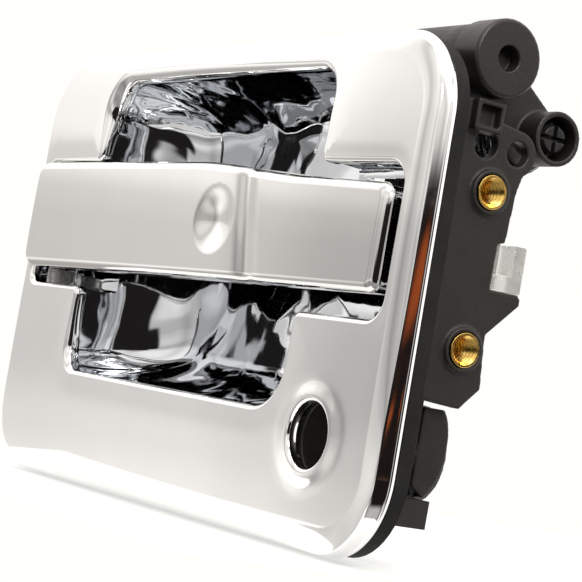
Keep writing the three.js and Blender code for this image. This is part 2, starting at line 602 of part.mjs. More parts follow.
// ---------------------------------------------------------------- assembly
const housing = new THREE.Group();
housing.add(
  bezel(),
  recessBowl(),
  doorGasket(),
  carrierFrame(),
  mechanismBracket(),
  lockHousing(),
  threadedInsert("threaded_insert_upper", INSERTS.upperZ),
  threadedInsert("threaded_insert_lower", INSERTS.lowerZ),
  rodGuideClip(),
  strapPivotPin(),
  pivotBush("pivot_bush_upper", STRAP_PIVOT.knuckleTop + GAP, POCKET.top + 0.2),
  pivotBush("pivot_bush_lower", POCKET.bottom - 0.2, STRAP_PIVOT.knuckleBottom - GAP),
  bellcrankPin(),
  returnSpring(),
  strapBumper("strap_bumper_upper", BUMPERS.z.upper),
  strapBumper("strap_bumper_lower", BUMPERS.z.lower),
);
FRAME_SCREWS.forEach(([x, z], i) => {
  housing.add(screw(`carrier_screw_${i + 1}`, x, FRAME.backY + GAP, z, SCREW.length));
});
BRACKET_SCREWS.forEach(([x, z], i) => {
  housing.add(screw(`bracket_screw_${i + 1}`, x, BASE.backY + GAP, z, 7));
});

const strap = new THREE.Group();
strap.position.set(STRAP_PIVOT.x, STRAP_PIVOT.y, 0);
strap.add(strapCover(), strapCore());
STRAP_SCREWS.forEach((x, i) => {
  const at = STRAP.backY - 2 + GAP;
  strap.add(screw(`strap_screw_${i + 1}`, x - STRAP_PIVOT.x, at - STRAP_PIVOT.y, 13, 5.4));
});

const bellcrank = new THREE.Group();
bellcrank.position.set(0, HUB.y, HUB.z);
bellcrank.add(bellcrankLever(), counterweight(), latchRodClip());

const handle = new THREE.Group();
handle.add(housing, strap, bellcrank);
handle.position.z = -SEAT_Z;
export default handle;
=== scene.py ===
# Chromed outside door handle with its black carrier, seen from the key-hole end.
# Metres, Z up; lengths named in millimetres are multiplied by MM.
import bmesh
import bpy
import json
import math
import numpy as np
from mathutils import Matrix, Vector
from mathutils.geometry import delaunay_2d_cdt


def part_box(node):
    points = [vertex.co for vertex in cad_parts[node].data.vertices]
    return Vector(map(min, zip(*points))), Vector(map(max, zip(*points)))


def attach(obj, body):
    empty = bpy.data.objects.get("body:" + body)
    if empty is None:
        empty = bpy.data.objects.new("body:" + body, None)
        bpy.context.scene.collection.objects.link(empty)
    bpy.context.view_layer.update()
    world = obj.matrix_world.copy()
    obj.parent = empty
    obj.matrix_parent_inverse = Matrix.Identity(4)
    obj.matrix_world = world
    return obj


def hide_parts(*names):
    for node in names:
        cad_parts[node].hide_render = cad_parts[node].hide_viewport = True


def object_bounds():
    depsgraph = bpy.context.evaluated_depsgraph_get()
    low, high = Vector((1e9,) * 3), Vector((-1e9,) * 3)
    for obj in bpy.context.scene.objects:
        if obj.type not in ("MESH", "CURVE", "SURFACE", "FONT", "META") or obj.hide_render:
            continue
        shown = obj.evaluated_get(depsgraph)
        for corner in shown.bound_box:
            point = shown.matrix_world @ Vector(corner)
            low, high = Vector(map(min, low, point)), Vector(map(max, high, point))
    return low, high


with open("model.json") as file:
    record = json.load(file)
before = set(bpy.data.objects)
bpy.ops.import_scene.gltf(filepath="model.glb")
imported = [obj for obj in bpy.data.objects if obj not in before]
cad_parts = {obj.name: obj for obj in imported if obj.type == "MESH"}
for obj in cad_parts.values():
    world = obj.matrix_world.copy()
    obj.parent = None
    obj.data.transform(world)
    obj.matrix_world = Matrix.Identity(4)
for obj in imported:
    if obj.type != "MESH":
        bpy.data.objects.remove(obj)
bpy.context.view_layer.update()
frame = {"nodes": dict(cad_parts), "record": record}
MM = 0.001


def box_mm(node):
    """A CAD node's low and high corners in millimetres."""
    lo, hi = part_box(node)
    return [v / MM for v in lo], [v / MM for v in hi]


BEZEL_LO, BEZEL_HI = box_mm("bezel")
MID_Z = (BEZEL_LO[2] + BEZEL_HI[2]) / 2  # outlines below count Z from the middle of the bezel


# ---------------------------------------------------------------- outlines
def rounded(corners, steps=14, spacing=2.5):
    """Closed outline through (x, z, radius) corners: points and their outward normals."""
    pts, nrm = [], []
    c = [np.array(k[:2], float) for k in corners]
    n = len(c)
    for i in range(n):
        a, b, d = c[i - 1], c[i], c[(i + 1) % n]
        r = corners[i][2]
        u, v = (a - b) / np.linalg.norm(a - b), (d - b) / np.linalg.norm(d - b)
        half = math.acos(max(-1, min(1, float(u @ v)))) / 2
        reach = r / math.tan(half)
        centre = b + (u + v) / np.linalg.norm(u + v) * r / math.sin(half)
        start, end = b + u * reach, b + v * reach
        turn = float(np.cross(-u, v))
        a0 = math.atan2(*(start - centre)[::-1])
        a1 = math.atan2(*(end - centre)[::-1])
        if turn > 0 and a1 < a0:
            a1 += 2 * math.pi
        if turn < 0 and a1 > a0:
            a1 -= 2 * math.pi
        side = 1 if turn > 0 else -1
        if pts:
            straight(pts, nrm, start, spacing)
        for k in range(steps + 1):
            t = a0 + (a1 - a0) * k / steps
            e = np.array([math.cos(t), math.sin(t)])
            pts.append(centre + e * r)
            nrm.append(e * side)
    straight(pts, nrm, pts[0], spacing)
    return np.array(pts), np.array(nrm)


def straight(pts, nrm, end, spacing):
    """Adds evenly spaced points, and their normals, towards end."""
    start = pts[-1]
    d = end - start
    length = np.linalg.norm(d)
    if length < 1e-6:
        return
    out = np.array([d[1], -d[0]]) / length
    count = max(1, int(length / spacing))
    for k in range(1, count):
        pts.append(start + d * k / count)
        nrm.append(out)


def ring(x, z, radius, count=96):
    """A circle's points and outward normals."""
    t = np.linspace(0, 2 * math.pi, count, endpoint=False)
    e = np.stack([np.cos(t), np.sin(t)], 1)
    return np.array([x, z]) + e * radius, e


def distance_to(points, outline):
    """Distance of each point from a closed outline."""
    a, b = outline, np.roll(outline, -1, 0)
    best = np.full(len(points), 1e9)
    for p, q in zip(a, b):
        d = q - p
        t = np.clip(((points - p) @ d) / max(d @ d, 1e-12), 0, 1)
        best = np.minimum(best, np.linalg.norm(points - (p + t[:, None] * d), axis=1))
    return best


def inside(points, outline):
    """Which points lie within a closed outline."""
    hit = np.zeros(len(points), bool)
    for p, q in zip(outline, np.roll(outline, -1, 0)):
        cross = (p[1] > points[:, 1]) != (q[1] > points[:, 1])
        with np.errstate(divide="ignore", invalid="ignore"):
            x = (q[0] - p[0]) * (points[:, 1] - p[1]) / (q[1] - p[1]) + p[0]
        hit ^= cross & (points[:, 0] < x)
    return hit


def stagger(lo, hi, spacing):
    """Points on a staggered grid."""
    gx, gz = np.meshgrid(np.arange(lo[0], hi[0], spacing), np.arange(lo[1], hi[1], spacing))
    gx[1::2] += spacing / 2
    return np.stack([gx.ravel(), gz.ravel()], 1)


def ease(v, start, end):
    """0 at start, 1 at end, smooth between."""
    t = np.clip((v - start) / (end - start), 0, 1)
    return t * t * (3 - 2 * t)


# ---------------------------------------------------------------- meshes
def face_out(mesh):
    """Turns every face outwards."""
    bm = bmesh.new()
    bm.from_mesh(mesh)
    bmesh.ops.recalc_face_normals(bm, faces=bm.faces)
    bm.to_mesh(mesh)
    bm.free()


class Skin:
    """Collects vertices in millimetres and the faces between them."""

    def __init__(self):
        self.v, self.f, self.n = [], [], {}

    def loop(self, pts, ys, normals=None):
        start = len(self.v)
        for i, (p, y) in enumerate(zip(pts, ys)):
            self.v.append((p[0], y, p[1] + MID_Z))
            if normals is not None:
                self.n[start + i] = normals[i]
        return list(range(start, len(self.v)))

    def bridge(self, a, b, flip=False):
        n = len(a)
        for i in range(n):
            j = (i + 1) % n
            q = (a[i], a[j], b[j], b[i])
            self.f.append(q[::-1] if flip else q)

    def fill(self, loops, height, spacing, normal_of=None, flip=False, busy=None):
        """Flat-on fill between closed loops of vertex indices; the first is the outer one.
        Where busy(points) holds the points stand closer together."""
        rings = [np.array([(self.v[i][0], self.v[i][2] - MID_Z) for i in lp]) for lp in loops]
        lo, hi = rings[0].min(0), rings[0].max(0)
        grid = stagger(lo, hi, spacing)
        if busy is not None:
            fine = stagger(lo, hi, spacing * 0.4)
            grid = np.concatenate([grid[~busy(grid)], fine[busy(fine)]])
        keep = inside(grid, rings[0])
        for r in rings[1:]:
            keep &= ~inside(grid, r)
        for r in rings:
            keep &= distance_to(grid, r) > spacing * 0.4
        grid = grid[keep]
        flat = np.concatenate(rings + [grid])
        edges, base = [], 0
        for r in rings:
            edges += [(base + i, base + (i + 1) % len(r)) for i in range(len(r))]
            base += len(r)
        out = delaunay_2d_cdt([Vector(p) for p in flat], edges, [], 0, 1e-6)
        verts, _, faces, origin = out[0], out[1], out[2], out[3]
        index = [i for lp in loops for i in lp]
        own = {}
        for k, src in enumerate(origin):
            known = [s for s in src if s < len(index)]
            if known:
                own[k] = index[known[0]]
        fresh = [k for k in range(len(verts)) if k not in own]
        pts = np.array([(verts[k][0], verts[k][1]) for k in fresh]).reshape(-1, 2)
        if len(pts):
            made = self.loop(pts, height(pts), None if normal_of is None else normal_of(pts))
            own.update(zip(fresh, made))
        mids = np.array([np.mean([verts[k][:] for k in f], 0) for f in faces])
        ok = inside(mids, rings[0])
        for r in rings[1:]:
            ok &= ~inside(mids, r)
        for f, good in zip(faces, ok):
            if good:
                q = [own[k] for k in f]
                self.f.append(q[::-1] if flip else q)

    def build(self, name, sharp=40):
        mesh = bpy.data.meshes.new(name)
        mesh.from_pydata([tuple(c * MM for c in p) for p in self.v], [], [tuple(f) for f in self.f])
        mesh.validate()
        mesh.update()
        face_out(mesh)
        mesh.polygons.foreach_set("use_smooth", [True] * len(mesh.polygons))
        mesh.set_sharp_from_angle(angle=math.radians(sharp))
        if self.n:
            normals = [self.n.get(i, (0.0, 0.0, 0.0)) for i in range(len(mesh.vertices))]
            mesh.normals_split_custom_set_from_vertices([tuple(map(float, n)) for n in normals])
        ob = bpy.data.objects.new(name, mesh)
        bpy.context.scene.collection.objects.link(ob)
        return ob


def surface_normals(height, facing=-1):
    """Normals of y = height(x, z), seen from -Y."""
    def of(pts, e=0.05):
        dx = (height(pts + [e, 0]) - height(pts - [e, 0])) / (2 * e)
        dz = (height(pts + [0, e]) - height(pts - [0, e])) / (2 * e)
        n = np.stack([dx, -np.ones(len(pts)), dz], 1) * -facing
        return n / np.linalg.norm(n, axis=1)[:, None]
    return of


# ---------------------------------------------------------------- bezel
RIM_Y = box_mm("door_gasket")[0][1] - 0.3
FACE = dict(w=105.0, h=63.0, crown=-12.8, edge=-9.4, bow=0.9, wall=2.4)
OUTER = [(-105, -63, 21), (106.8, -63, 21), (105, 63, 21), (-105, 63, 21)]
OPENING = [
    (-61, -31, 7), (61, -31, 12), (61, -6.6, 2.6), (96, -6.6, 5.5), (96, 30.1, 5.5), (61, 30.1, 2.6),
    (61, 53.5, 7), (-61, 53.5, 11), (-61, 30.1, 2.6), (-99, 30.1, 4.5), (-99, -6.6, 4.5), (-61, -6.6, 2.6),
]
OPENING_MID_Z = 11.75
KEY = dict(x=76.6, z=-35.5, r=8.0, turn=1.1, depth=2.7, swell=0.62, swell_at=0.6, swell_width=3.4)
LIP = dict(depth=0.16, width=4.5)
TURN = dict(least=1.5, top=2.0, left=0.8, flange=1.8)  # the rolled edge round the recess
BEAD = dict(back=3.2, edge=0.4, chamfer=0.3, foot=0.62, start=0.47, ease=0.1, lean=0.42, width=1.15, turn=0.3)
SIDE = dict(inset=0.33, foot=1.6, height=2.5, taller=1.5, lean=0.035, bend=0.125)  # the nearly upright wall
ROLL = dict(width=7.0, narrower=3.7, steps=16)
FLANGE = [(0, 0), (0.3, 0.25), (1.2, 0.25), (1.5, 0)]  # the hem behind an opening: how far out, how far back
HEM_OUT = 2.2
FACE_SPACING, BACK_SPACING = 2.0, 6
outer_pts, outer_n = rounded(OUTER, steps=28)
open_pts, open_n = rounded(OPENING, steps=10, spacing=2)
key_pts, key_n = ring(KEY["x"], KEY["z"], KEY["r"])


def crown(p):
    """The bezel's plain face."""
    x, z = p[:, 0] / FACE["w"], p[:, 1] / FACE["h"]
    return FACE["crown"] + (FACE["edge"] - FACE["crown"]) * x * x + FACE["bow"] * np.abs(z) ** 3


def from_key(p):
    """Distance from the key hole's edge."""
    return np.hypot(p[:, 0] - KEY["x"], p[:, 1] - KEY["z"]) - KEY["r"]


def key_collar(p):
    """The face swells towards the key hole."""
    return -KEY["swell"] * np.exp(-((from_key(p) - KEY["swell_at"]) / KEY["swell_width"]) ** 2)


def lip(p):
    """The face falls away slightly towards the recess."""
    return LIP["depth"] * np.exp(-(distance_to(p, open_pts) / LIP["width"]) ** 2)


def face_height(p):
    return crown(p) + key_collar(p) + lip(p)


def recess_turn(p):
    """Radius of the rolled edge round the recess: widest along the top and the left."""
    x, z = p[:, 0], p[:, 1]
    top = TURN["top"] * ease(z, 30, 50) * (1 - 0.7 * ease(x, -20, 60))
    left = TURN["left"] * ease(-x, 52, 62) * (1 - ease(-x, 62, 70))
    return TURN["least"] + top + left * ease(np.abs(z - OPENING_MID_Z), 25, 38)


def bezel_detail(p):
    """Where the face bends most."""
    return (from_key(p) < 8) | (distance_to(p, open_pts) < 9)


def outer_loop(s, inset, y, normals=None):
    """A loop of the bezel's outline, moved in by inset, at depth y."""
    p = outer_pts - outer_n * np.broadcast_to(inset, len(outer_pts))[:, None]
    return s.loop(p, np.broadcast_to(y, len(p)), normals)


def bead_rows(s):
    """The rim's inside, its edge on the gasket and the bead round it."""
    wall, b = FACE["wall"], BEAD
    rows = [outer_loop(s, wall, RIM_Y - b["back"]), outer_loop(s, wall, RIM_Y - b["edge"]),
            outer_loop(s, wall - b["chamfer"], RIM_Y), outer_loop(s, b["foot"], RIM_Y),
            outer_loop(s, b["start"], RIM_Y - b["ease"])]
    for t in (0.33, 0.67, 1):
        rows.append(outer_loop(s, b["start"] - b["lean"] * t, RIM_Y - b["ease"] - b["width"] * t))
    out, front = b["start"] - b["lean"], RIM_Y - b["ease"] - b["width"]
    for a in np.linspace(0.3, 1.35, 5):
        rows.append(outer_loop(s, out + b["turn"] * (1 - math.cos(a)), front - b["turn"] * math.sin(a)))
    return rows


def side_rows(s, height):
    """The nearly upright wall between the bead and the roll."""
    rows = []
    for t in np.linspace(0, 1, 6)[:-1]:
        lean = SIDE["height"] * (SIDE["lean"] * t + SIDE["bend"] * t * t)
        rows.append(outer_loop(s, SIDE["inset"] + lean, RIM_Y - SIDE["foot"] - height * t))
    return rows


def roll_rows(s, height, n_of):
    """The roll from the side wall over to the face: a quarter of an ellipse."""
    beside_hinge = ease(-outer_pts[:, 0], 60, 103)
    roll = ROLL["width"] - ROLL["narrower"] * beside_hinge
    face_in = outer_pts - outer_n * roll[:, None]
    top = face_height(face_in)
    wall_top = RIM_Y - SIDE["foot"] - height
    wall_in = SIDE["inset"] + SIDE["height"] * (SIDE["lean"] + SIDE["bend"])
    rows = []
    for k in range(ROLL["steps"] + 1):
        a = (k / ROLL["steps"]) * math.pi / 2
        inset = wall_in + (roll - wall_in) * (1 - math.cos(a))
        y = wall_top + (top - wall_top) * math.sin(a)
        rows.append(outer_loop(s, inset, y, n_of(face_in) if k == ROLL["steps"] else None))
    return rows


def hole_loops(s, pts, nrm, turn, depth, n_of, steps=10):
    """An opening's face edge, its roll and its short hem; gives the first loop and the last."""
    base = pts + nrm * turn[:, None]
    y_face = face_height(base)
    loops = [s.loop(base, y_face, n_of(base))]
    for k in range(1, steps + 1):
        a = (k / steps) * math.pi / 2
        p = pts + nrm * (turn * (1 - math.sin(a)))[:, None]
        loops.append(s.loop(p, y_face + turn * (1 - math.cos(a))))
    for out, back in FLANGE:
        loops.append(s.loop(pts + nrm * out, y_face + depth + back))
    hem = pts + nrm * HEM_OUT
    loops.append(s.loop(hem, crown(hem) + FACE["wall"]))
    for a, b in zip(loops, loops[1:]):
        s.bridge(a, b)
    return loops[0], loops[-1]


def make_bezel():
    """The face plate: rim, side wall, roll and face, with the recess and the key hole."""
    s = Skin()
    wall = FACE["wall"]
    n_of = surface_normals(face_height)
    low_right = ease(-outer_pts[:, 1], -10, 45) * ease(outer_pts[:, 0], 60, 100)
    height = SIDE["height"] + SIDE["taller"] * low_right  # the side wall stands taller below the strap
    rows = bead_rows(s) + side_rows(s, height) + roll_rows(s, height, n_of)
    for a, b in zip(rows, rows[1:]):
        s.bridge(a, b, flip=True)
    turn = recess_turn(open_pts)
    recess_front, recess_back = hole_loops(s, open_pts, open_n, turn, turn + TURN["flange"], n_of)
    key_turn, key_depth = np.full(len(key_pts), KEY["turn"]), np.full(len(key_pts), KEY["depth"])
    key_front, key_back = hole_loops(s, key_pts, key_n, key_turn, key_depth, n_of)
    s.fill([rows[-1], recess_front, key_front], face_height, FACE_SPACING, n_of, busy=bezel_detail)
    back_edge = outer_loop(s, wall, crown(outer_pts - outer_n * wall) + wall)
    s.bridge(rows[0], back_edge)
    s.fill([back_edge, recess_back, key_back], lambda p: crown(p) + wall, BACK_SPACING, flip=True)
    return s.build("bezel_shell")


# ---------------------------------------------------------------- recess bowl
def solid_of(loops, name, cap_first=True, cap_last=True, sharp=40):
    """A closed body through loops of (x, y, z) rows."""
    s = Skin()
    ids = []
    for lp in loops:
        start = len(s.v)
        s.v += [(x, y, z + MID_Z) for x, y, z in lp]
        ids.append(list(range(start, len(s.v))))
    for a, b in zip(ids, ids[1:]):
        s.bridge(a, b)
    if cap_first:
        s.f.append(tuple(ids[0][::-1]))
    if cap_last:
        s.f.append(tuple(ids[-1]))
    return s.build(name, sharp)


BOWL = dict(mouth=-8.6, floor=20.6, dome=1.2, floor_size=0.70, rise=9.5, wave=0.42, shell=2.0)
BOWL_MID = np.array([0.0, 11.25])
BOWL_DRIFT = np.array([4.0, -2.0])  # how far the outline's middle wanders as it shrinks to nothing
MOUTH = [(-62, -32, 8), (62, -32, 11), (62, 54.5, 8), (-62, 54.5, 12)]
WALL_SHARE = 0.6  # share of the rows that go down the steep wall
POCKET = [(-99.6, -7.2, 5), (96.6, -7.2, 5), (96.6, 30.7, 5), (-99.6, 30.7, 5)]
POCKET_FLOOR = 1.5
LEG_SLOT = [(63.3, 2, 0.4), (81, 2, 0.4), (81, 28.5, 0.4), (63.3, 28.5, 0.4)]
CLEAR_FRONT = -30


def bowl_section(t):
    """Size and depth of the bowl's outline as t runs down the steep wall, then in over the floor."""
    b = BOWL
    if t < WALL_SHARE:
        a = t / WALL_SHARE * math.pi / 2
        size = b["floor_size"] + (1 - b["floor_size"]) * math.cos(a)
        return size, b["mouth"] + (b["floor"] - b["mouth"]) * math.sin(a)
    k = (t - WALL_SHARE) / (1 - WALL_SHARE)
    return b["floor_size"] * (1 - 0.97 * k), b["floor"] + b["dome"] * (1 - (1 - k) ** 2)


def waves(p):
    """Long shallow waves in the bowl's floor."""
    x, z = p[:, 0], p[:, 1]
    swirl = np.sin(x / 8.5 + 0.9 * np.sin(z / 9.0)) * np.cos(z / 7.5 - x / 26.0)
    return swirl + 0.5 * np.sin(x / 4.6 - z / 5.8 + 1.3)


def bowl_loops(grow, rows=72):
    """The bowl from its mouth down, a skin's thickness further out if grown."""
    pts, nrm = rounded(MOUTH, steps=22, spacing=1.5)
    loops = []
    for k in range(rows + 1):
        size, depth = bowl_section(k / rows)
        p = BOWL_MID + (pts - BOWL_MID) * size + BOWL_DRIFT * (1 - size) + nrm * grow
        share = (depth - BOWL["mouth"]) / (BOWL["floor"] - BOWL["mouth"])
        wavy = BOWL["wave"] * waves(p) * ease(np.array(share), 0.3, 1.0)
        floor = wavy - BOWL["rise"] * share * ease(p[:, 0], -42, 40)
        loops.append([(x, depth + w + grow * share, z) for (x, z), w in zip(p, floor)])
    return loops


def boolean(a, b, kind):
    """The union or difference of two closed bodies; b is used up."""
    m = a.modifiers.new("bool", "BOOLEAN")
    m.operation, m.object, m.solver = kind, b, "EXACT"
    bpy.context.view_layer.update()
    mesh = bpy.data.meshes.new_from_object(a.evaluated_get(bpy.context.evaluated_depsgraph_get()))
    a.modifiers.clear()
    a.data = mesh
    bpy.data.objects.remove(b)
    return a


def prism(corners, y0, y1, name, edge=0.0):
    """A rounded outline carried from y0 to y1, its far edge softened."""
    pts, nrm = rounded(corners, steps=8, spacing=4)
    rows = [(0, y0), (0, y1 - edge)]
    if edge:
        rows += [(edge * 0.3, y1 - edge * 0.3), (edge, y1)]
    return solid_of([[(x, y, z) for x, z in pts - nrm * d] for d, y in rows], name)


def grown(corners, by):
    """A rectangle's corners moved out by a skin's thickness."""
    mid_x, mid_z = np.mean([c[:2] for c in corners], 0)
    return [(x + math.copysign(by, x - mid_x), z + math.copysign(by, z - mid_z), r + by)
            for x, z, r in corners]


def make_bowl():
    """The bowl and the strap's pocket, as one skin, with the slot for the strap's leg."""
    skin = BOWL["shell"]
    inner, outer = bowl_loops(0), bowl_loops(skin)
    cavity = solid_of([[(x, CLEAR_FRONT, z) for x, _, z in inner[0]]] + inner, "cavity")
    cavity = boolean(cavity, prism(POCKET, CLEAR_FRONT, POCKET_FLOOR, "pocket_in", edge=1.2), "UNION")
    front = [(x, BOWL["mouth"] + 0.1, z) for x, _, z in outer[0]]
    shell = solid_of([front] + outer[1:], "recess_bowl_shell")
    pocket_out = prism(grown(POCKET, skin), BOWL["mouth"] + 1.2, POCKET_FLOOR + 2.1, "pocket_out", edge=1.0)
    shell = boolean(shell, pocket_out, "UNION")
    shell = boolean(shell, cavity, "DIFFERENCE")
    shell = boolean(shell, prism(LEG_SLOT, -3, 12, "slot"), "DIFFERENCE")
    finish_shading(shell, 30)
    return shell


def finish_shading(ob, sharp):
    """Smooth shading, with creases above an angle in degrees."""
    me = ob.data
    me.polygons.foreach_set("use_smooth", [True] * len(me.polygons))
    me.set_sharp_from_angle(angle=math.radians(sharp))


# ---------------------------------------------------------------- strap
STRAP = dict(left=-97.5, right=94.3, bottom_left=-2.3, bottom_right=-0.8, top_left=29.6, top_right=25.4,
             left_y=-14.2, right_y=-12.4, mid_x=22.0, mid_y=-17.6, mid_z=13.5, crease=36.5, parting=-10.0,
             roll=2.6, wall=1.9, thickness=2.4, lip=2.0)
STEP = dict(x0=6.0, x1=62.0, low=26.4)  # the S in the top edge
DIMPLE = dict(x=20.6, z=14.0, rx=10.6, rz=9.6, depth=1.9)
CREASE = dict(depth=0.68, width=3.4, slant=0.24)
RIDGE_SOFTNESS = 0.35


def step_shift(x):
    """How far the top edge stands off the straight line between its ends."""
    st = STRAP
    s = ease(x, STEP["x0"], STEP["x1"])
    start, end, low = st["top_left"], st["top_right"], STEP["low"]
    line = start + (end - start) * (x - st["left"]) / (st["right"] - st["left"])
    far = np.clip((x - STEP["x1"]) / (st["right"] - STEP["x1"]), 0, 1)
    return start + (low - start) * s + (end - low) * far - line


def strap_outline(inset=0.0):
    """The strap from the front: its top edge steps down in an S towards the free end."""
    st = STRAP
    corners = [(st["left"], st["bottom_left"], 4.4), (st["right"], st["bottom_right"], 3.5),
               (st["right"], st["top_right"], 4.0), (st["left"], st["top_left"], 4.4)]
    pts, _ = rounded(corners, steps=12, spacing=1.6)
    shift = np.where(pts[:, 1] > 12, step_shift(pts[:, 0]), 0)
    pts = pts + np.stack([np.zeros(len(pts)), shift], 1)
    along_edge = np.roll(pts, -1, 0) - np.roll(pts, 1, 0)
    n = np.stack([along_edge[:, 1], -along_edge[:, 0]], 1)
    n /= np.linalg.norm(n, axis=1)[:, None]
    return pts - n * inset


def strap_face(p):
    """Two long facets with a soft ridge between them, the thumb dimple and the slanting crease."""
    st = STRAP
    x, z = p[:, 0], p[:, 1]
    left = st["left_y"] + (st["mid_y"] - st["left_y"]) * (x - st["left"]) / (st["mid_x"] - st["left"])
    right = st["mid_y"] + (st["right_y"] - st["mid_y"]) * ((x - st["mid_x"]) / (st["right"] - st["mid_x"]))
    k = RIDGE_SOFTNESS
    y = np.log(np.exp(k * left) + np.exp(k * right)) / k
    d2 = ((x - DIMPLE["x"]) / DIMPLE["rx"]) ** 2 + ((z - DIMPLE["z"]) / DIMPLE["rz"]) ** 2
    dish = DIMPLE["depth"] * np.clip(1 - d2, 0, 1) ** 2
    fold = st["crease"] - CREASE["slant"] * (z - DIMPLE["z"])
    crease = CREASE["depth"] * np.exp(-((x - fold) / CREASE["width"]) ** 2)
    bow = 0.25 * ((z - st["mid_z"]) / 15) ** 2
    return y + dish + crease + bow


def make_strap_cover(steps=12):
    """The strap's outer shell, rolled over all round."""
    s = Skin()
    n_of = surface_normals(strap_face)
    roll, wall, thickness, parting = (STRAP[k] for k in ("roll", "wall", "thickness", "parting"))

    def row(inset, y, normals=None):
        p = strap_outline(inset)
        return s.loop(p, np.broadcast_to(y, len(p)), normals)

    face_p = strap_outline(roll)
    top = strap_face(face_p)
    rows = [row(wall, parting - STRAP["lip"]), row(wall, parting), row(0.35, parting),
            row(0.08, parting - 0.1), row(0, parting - 0.4)]
    y0 = top + roll * 1.05
    for k in range(steps + 1):
        a = (k / steps) * math.pi / 2
        normals = n_of(face_p) if k == steps else None
        rows.append(row(roll * (1 - math.cos(a)), y0 + (top - y0) * math.sin(a), normals))
    for a, b in zip(rows, rows[1:]):
        s.bridge(a, b, flip=True)
    s.fill([rows[-1]], strap_face, 1.7, n_of, busy=lambda p: np.abs(p[:, 0] - 26) < 22)
    back_p = strap_outline(wall)
    back = s.loop(back_p, strap_face(back_p) + thickness)
    s.bridge(rows[0], back)
    s.fill([back], lambda p: strap_face(p) + thickness, 5, flip=True)
    return s.build("strap_cover_shell")


# ---------------------------------------------------------------- turned and moulded small pieces
def turned(name, profile, y, z, steps=72):
    """A closed ring about an axis along X through (y, z); the profile is its section, as (x, radius)."""
    t = np.linspace(0, 2 * math.pi, steps, endpoint=False)
    rows = [[(x, y + r * math.cos(a), z - MID_Z + r * math.sin(a)) for a in t] for x, r in profile]
    return solid_of(rows + rows[:1], name, cap_first=False, cap_last=False, sharp=32)


THREAD = dict(pitch=1.3, crest=2.85, root=3.45, land=0.16, valley=0.1, start=0.25)
KNURL_RADIUS = 3.9


def make_insert(node):
    """A brass insert with its thread, its flange towards +X."""
    lo, hi = box_mm(node)
    y, z, face = (lo[1] + hi[1]) / 2, (lo[2] + hi[2]) / 2, hi[0]
    pitch, crest, root = THREAD["pitch"], THREAD["crest"], THREAD["root"]
    body = [(lo[0], crest), (lo[0], KNURL_RADIUS), (face - 1.6, KNURL_RADIUS), (face - 1.3, 3.6),
            (face - 0.9, KNURL_RADIUS), (face + 0.02, 3.92)]
    flange = [(face + 0.02, 4.0), (face + 0.12, 4.12), (face + 0.28, 4.12), (face + 0.36, 4.02),
              (face + 0.36, 3.55), (face + 0.2, root - 0.05)]
    thread = []
    x = face - THREAD["start"]
    while x > lo[0] + pitch:
        thread += [(x, crest), (x - THREAD["land"], crest), (x - pitch / 2, root),
                   (x - pitch / 2 - THREAD["valley"], root)]
        x -= pitch
    return turned(node + "_turned", body + flange + thread, y, z)


# ---------------------------------------------------------------- materials
def nodes_of(name):
    """A new material, its node tree and its shader."""
    m = bpy.data.materials.new(name)
    m.use_nodes = True
    nt = m.node_tree
    nt.nodes.clear()
    out = nt.nodes.new("ShaderNodeOutputMaterial")
    b = nt.nodes.new("ShaderNodeBsdfPrincipled")
    nt.links.new(b.outputs[0], out.inputs[0])
    return m, nt, b


def noise(nt, scale, detail=4.0, rough=0.55):
    """Cloudy noise fixed to the object."""
    tc = nt.nodes.new("ShaderNodeTexCoord")
    n = nt.nodes.new("ShaderNodeTexNoise")
    n.inputs["Scale"].default_value = scale
    n.inputs["Detail"].default_value = detail
    n.inputs["Roughness"].default_value = rough
    nt.links.new(tc.outputs["Object"], n.inputs["Vector"])
    return n.outputs["Fac"]


def ramp(nt, fac, stops):
    """Colour through (position, colour) stops."""
    r = nt.nodes.new("ShaderNodeValToRGB")
    el = r.color_ramp.elements
    while len(el) < len(stops):
        el.new(0.5)
    for e, (pos, col) in zip(el, stops):
        e.position = pos
        e.color = (*col, 1) if len(col) == 3 else col
    nt.links.new(fac, r.inputs["Fac"])
    return r.outputs["Color"]


def bump(nt, b, height, strength, distance):
    """Fine relief on the shader's normal."""
    k = nt.nodes.new("ShaderNodeBump")
    k.inputs["Strength"].default_value = strength
    k.inputs["Distance"].default_value = distance
    nt.links.new(height, k.inputs["Height"])
    nt.links.new(k.outputs["Normal"], b.inputs["Normal"])


def chrome(name, tint):
    """Chrome plate with faint smudges."""
    m, nt, b = nodes_of(name)
    b.inputs["Metallic"].default_value = 1.0
    smudge = noise(nt, 60, 5, 0.6)
    col = ramp(nt, smudge, [(0.3, tint), (0.75, [c * 0.965 for c in tint])])
    nt.links.new(col, b.inputs["Base Color"])
    r = ramp(nt, noise(nt, 220, 6, 0.7), [(0.35, (0.03,) * 3), (0.8, (0.075,) * 3)])
    nt.links.new(r, b.inputs["Roughness"])
    return m


def wavy_chrome(name, tint):
    """Chrome over a moulding whose surface isn't quite true."""
    m = chrome(name, tint)
    nt = m.node_tree
    b = next(n for n in nt.nodes if n.type == "BSDF_PRINCIPLED")
    bump(nt, b, noise(nt, 45, 1.5, 0.45), 1.0, 0.0012)
    return m


def plastic(name, dark, light, rough=(0.42, 0.6), grain=0.25, scale=900):
    """Moulded plastic or rubber with a fine grain."""
    m, nt, b = nodes_of(name)
    b.inputs["Specular IOR Level"].default_value = 0.45
    col = ramp(nt, noise(nt, 45, 6, 0.65), [(0.3, dark), (0.75, light)])
    nt.links.new(col, b.inputs["Base Color"])
    r = ramp(nt, noise(nt, 130, 4), [(0.3, (rough[0],) * 3), (0.7, (rough[1],) * 3)])
    nt.links.new(r, b.inputs["Roughness"])
    bump(nt, b, noise(nt, scale, 3), grain, 0.0002)
    return m


